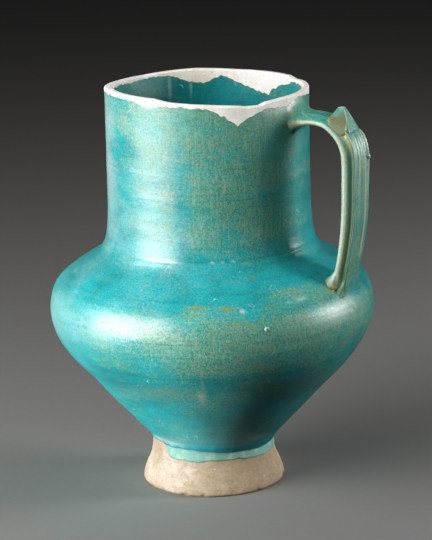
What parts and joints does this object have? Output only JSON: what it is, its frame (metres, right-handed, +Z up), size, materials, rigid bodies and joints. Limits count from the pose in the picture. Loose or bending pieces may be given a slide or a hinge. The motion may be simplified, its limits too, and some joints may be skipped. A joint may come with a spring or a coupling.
{
  "type": "glazed ceramic jug",
  "caption": "Round-bellied turquoise stonepaste jug on a flared foot, with a tall straight neck, a ribbed strap handle with a pointed thumb rest, and a plaster-mended rim.",
  "frame": {"origin": "middle of the box that the jug fills, handle included, at the height of the table; the turning axis of the body is 1.75 mm from it towards -X", "axes": "+Z up along the turning axis, +X from the body towards the handle, +Y across the handle strap"},
  "size_m": [0.1656, 0.162, 0.2028],
  "materials": {
    "bare_stonepaste": "matte",
    "turquoise_glaze": "gloss",
    "worn_glaze": "satin",
    "rim_plaster": "matte",
    "cream_plaster": "matte"
  },
  "bodies": {
    "root": {"foot": "bare_stonepaste", "lower_bowl": "turquoise_glaze", "shoulder": "turquoise_glaze", "neck": "turquoise_glaze", "handle": "worn_glaze", "thumb_rest": "worn_glaze", "rear_right_fill": "rim_plaster", "rear_left_fill": "cream_plaster", "left_fill": "rim_plaster", "front_left_fill": "rim_plaster", "front_fill": "rim_plaster", "handle_side_fill": "rim_plaster"}
  },
  "joints": []
}
